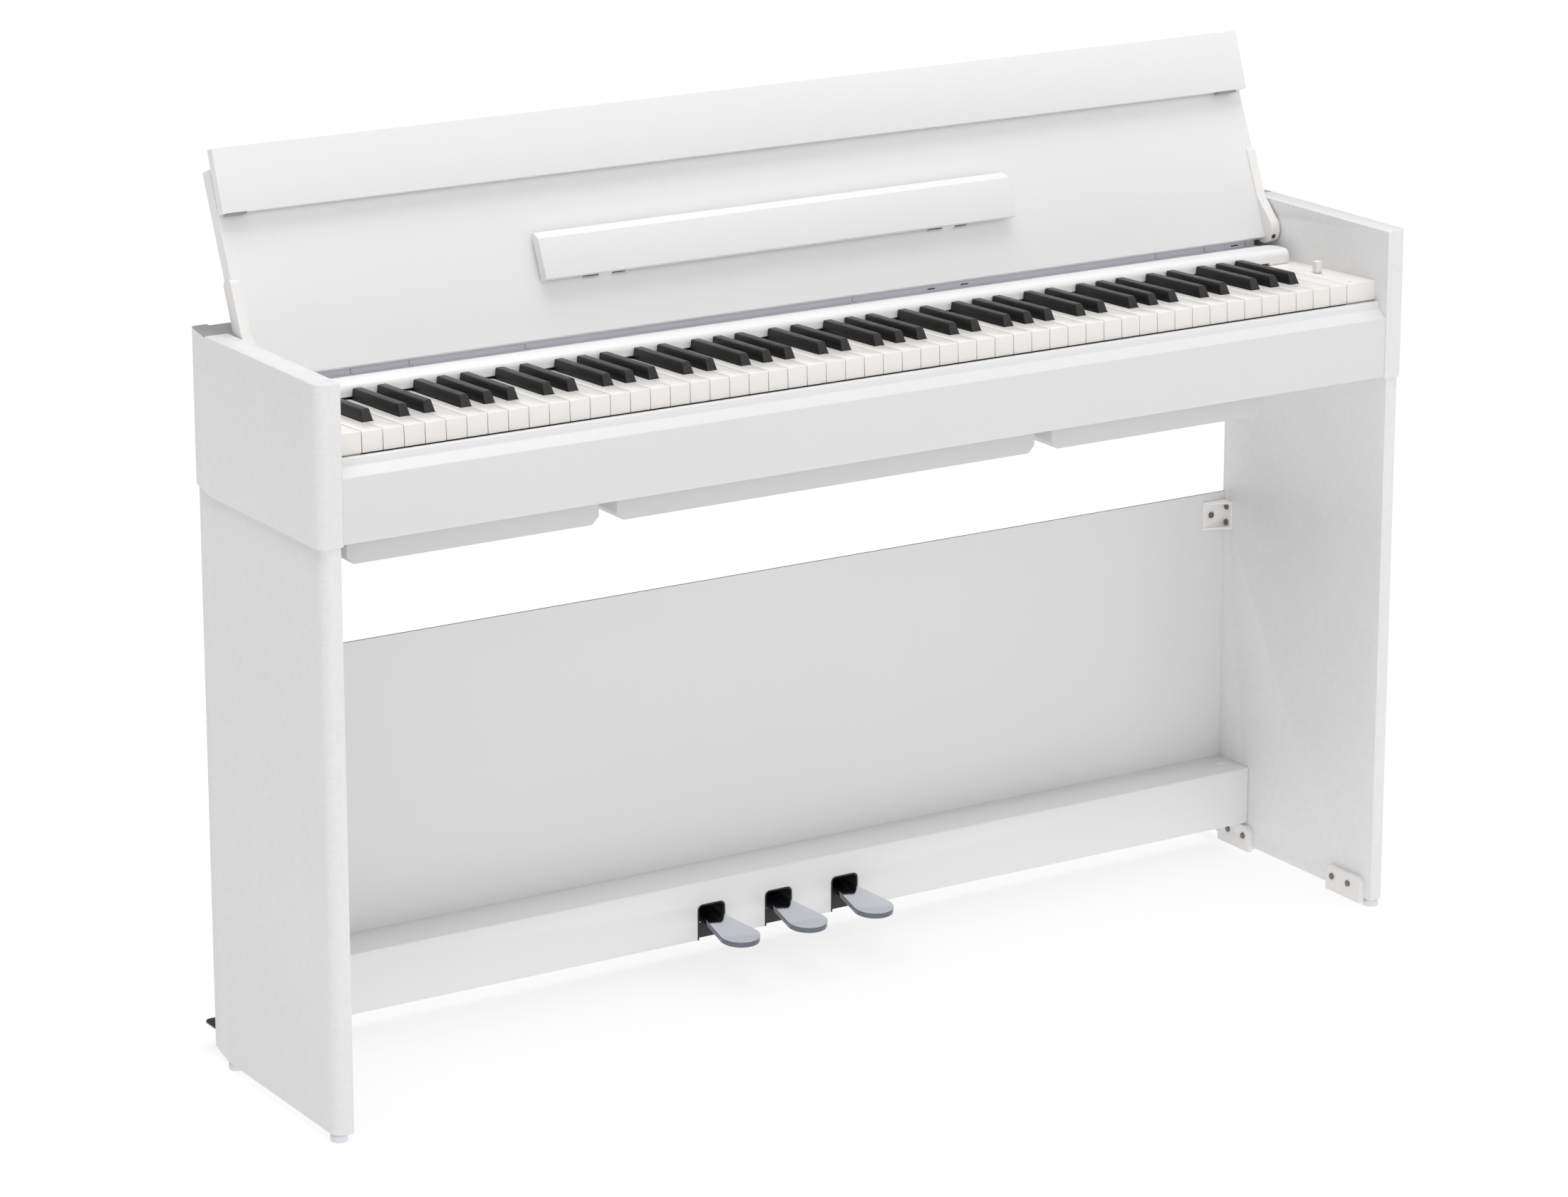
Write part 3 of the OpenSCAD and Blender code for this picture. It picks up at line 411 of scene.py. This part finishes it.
for octave in octaves:
    bm = merged_copy(f"white_keys_{octave}")
    ease(bm, 1.3 * mm, 4, keep=at_front_top)
    ease(bm, 0.35 * mm, 2)
    show(bm, f"whites_{octave}", f"white_keys_{octave}", ivory, "key_ivory", f"white_keys_{octave}")
    bm = merged_copy(f"black_keys_{octave}")
    ease(bm, 1.5 * mm, 4, keep=raised)
    show(bm, f"blacks_{octave}", f"black_keys_{octave}", ebony, "key_black", f"black_keys_{octave}")


# ---- Key frame, pivot rod and felts ------------------------------------------------------------
# A folded steel frame on the keybed carries the keys on one long rod. Black felt
# lies on its stop rail and under the bar behind the keys.

steel = Finish("plain_steel", Metallic=1.0)
brushing = steel.noise(700, 3.0, stretch=(0.02, 1, 1))
steel.feed("Base Color", steel.mix(brushing, grey(0.5), grey(0.68)))
steel.feed("Roughness", steel.clamp(brushing, 0.3, 0.7, 0.25, 0.45))
for node in ("key_frame", "key_pivot_rod", "pedal_axles", "lid_pins", "flap_hinges", "ledge_hinges"):
    refinish(node, steel)

felt = Finish("black_felt", Roughness=1.0, Sheen_Weight=0.4)
hairs = felt.noise(1500, 4.0)
felt.feed("Base Color", felt.mix(hairs, grey(0.008), grey(0.05)))
felt.emboss(hairs, 0.4 * mm, 0.8)
refinish("key_felt", felt)


# ---- Fallboard bar and channel ---------------------------------------------------------------------
# A white moulding with a round nose crosses behind the keys. The grey channel
# behind it is clipped on in lengths and takes the lower edge of the open lid.

eased("fallboard_bar", "cabinet", satin, "white_board", 0.8, 3)

putty = Finish("channel_grey", Roughness=0.55)
putty_cloud = putty.noise(18.0, 3.0)
putty_grit = putty.noise(900, 2.0)
joint_spots, joint_half = (-525, -457, -320, 87, 494, 562, 620), 0.4
slot_spots, slot_half = (190, 234, 605), 5
slot_z, slot_half_z = 741, 0.7
joints = putty.mark(0, joint_spots, joint_half)
# The slots are painted near black, a painted shade in their openings; the joints between the lengths are a
# darker grey.
slots = putty.mark(0, slot_spots, slot_half) * putty.mark(2, (slot_z,), slot_half_z)
clay = putty.mix(putty_cloud, tint(0.80, 0.80, 0.84), tint(0.86, 0.86, 0.90))
putty.feed("Base Color", putty.mix(slots, putty.mix(joints, clay, grey(0.25)), grey(0.02)))
putty.emboss(putty_grit, 0.06 * mm, 0.5)
eased("rear_channel", "cabinet", putty, "channel_grey", 0.4, 2)


# ---- Lid panel and its arms --------------------------------------------------------------------------
# One board turns on two steel pins. A moulded arm is screwed to each end of it
# and swells round the pin, with a black plug over its lower screw.

eased("lid_panel", "lid", satin, "white_board", 1.2, 3)
for side in ("left", "right"):
    eased("lid_arm_" + side, "lid", moulded, "white_plastic", 0.7, 2)

pitch = Finish("black_plastic", Roughness=0.5)
pitch_grit = pitch.noise(1000, 2.0)
pitch.feed("Base Color", pitch.mix(pitch_grit, grey(0.012), grey(0.03)))
pitch.emboss(pitch_grit, 0.05 * mm, 0.5)
for node in ("arm_plugs", "dc_inlet"):
    refinish(node, pitch)


# ---- Flap --------------------------------------------------------------------------------------------
# The narrow front board of the lid, hinged along its inner face, with two grey
# rubber pads on its edge.

eased("flap", "flap", satin, "white_board", 1.2, 3)
rubber = Finish("grey_pad", Roughness=0.8)
bloom = rubber.noise(160, 4.0)
rubber.feed("Base Color", rubber.mix(bloom, grey(0.3), grey(0.4)))
rubber.emboss(bloom, 0.1 * mm, 0.4)
eased("flap_pads", "flap", rubber, "grey_pad", 0.4, 2)


# ---- Music ledge ---------------------------------------------------------------------------------------
# A bevelled strip on two small steel hinges, folded up against the panel.

eased("music_ledge", "music_ledge", satin, "white_board", 0.8, 3)


# ---- Pedal beam, housings and pedals ----------------------------------------------------------------------
# The beam is a board box between the legs with three slots, each lined by a
# black housing with an apron under the pedal, which is polished chrome.

eased("pedal_beam", "cabinet", satin, "white_board", 0.9, 2)
refinish("pedal_housings", pitch)

beam_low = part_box("pedal_beam")[0]
apron = Vector((31, 2.5, 17.1)) * mm
apron_inset, apron_lift, pedal_pitch = 6.3 * mm, 0.2 * mm, 87.25 * mm
bm = bmesh.new()
for place in (-1, 0, 1):
    corner = Vector((place * pedal_pitch - apron.x / 2, beam_low.y + apron_inset, beam_low.z + apron_lift))
    bmesh.ops.create_cube(bm, size=1, matrix=Matrix.LocRotScale(corner + apron / 2, None, apron))
ease(bm, 0.4 * mm)
show(bm, "slot_aprons", "cabinet", pitch, "black_plastic")

eased("beam_caps", "cabinet", moulded, "white_plastic", 0.5, 2)

chrome = Finish("pedal_chrome", Metallic=1.0)
smear = chrome.noise(30.0, 4.0, stretch=(1, 0.4, 1))
# The chrome is painted bright on its upward faces and dark blue-grey on its sides: a painted reflection.
polished = chrome.mix(smear, tint(0.70, 0.72, 0.78), tint(0.77, 0.79, 0.85))
upward_painted_reflection = chrome.clamp(chrome.facing(2), 0.45, 0.8)
chrome.feed("Base Color", chrome.mix(upward_painted_reflection, tint(0.16, 0.17, 0.20), polished))
chrome.feed("Roughness", chrome.clamp(smear, 0.35, 0.7, 0.06, 0.18))
for name in ("pedal_left", "pedal_middle", "pedal_right"):
    eased(name, name, chrome, "pedal_chrome", 1.9, 5)


# ---- Brackets, screws and glides --------------------------------------------------------------------
# Moulded brackets with dark screws join the panel and the beam to the legs. The
# piano stands on grey glides, and two black steel angles reach out behind it.

for node, radius in (("panel_brackets", 0.5), ("foot_brackets", 0.8)):
    eased(node, "cabinet", moulded, "white_plastic", radius, 2)
eased("glides", "cabinet", putty, "grey_pad", 0.7, 2)
enamel = Finish("black_enamel", Roughness=0.4)
peel = enamel.noise(500, 2.0)
enamel.feed("Base Color", enamel.mix(peel, grey(0.015), grey(0.03)))
enamel.emboss(peel, 0.08 * mm, 0.4)
eased("rear_brackets", "cabinet", enamel, "black_enamel", 0.5, 2)
zinc = Finish("dark_zinc", Metallic=1.0)
plating = zinc.noise(400, 3.0)
zinc.feed("Base Color", zinc.mix(plating, grey(0.14), grey(0.24)))
zinc.feed("Roughness", zinc.clamp(plating, 0.3, 0.7, 0.3, 0.45))
eased("bracket_screws", "cabinet", zinc, "steel", 0.5, 2)
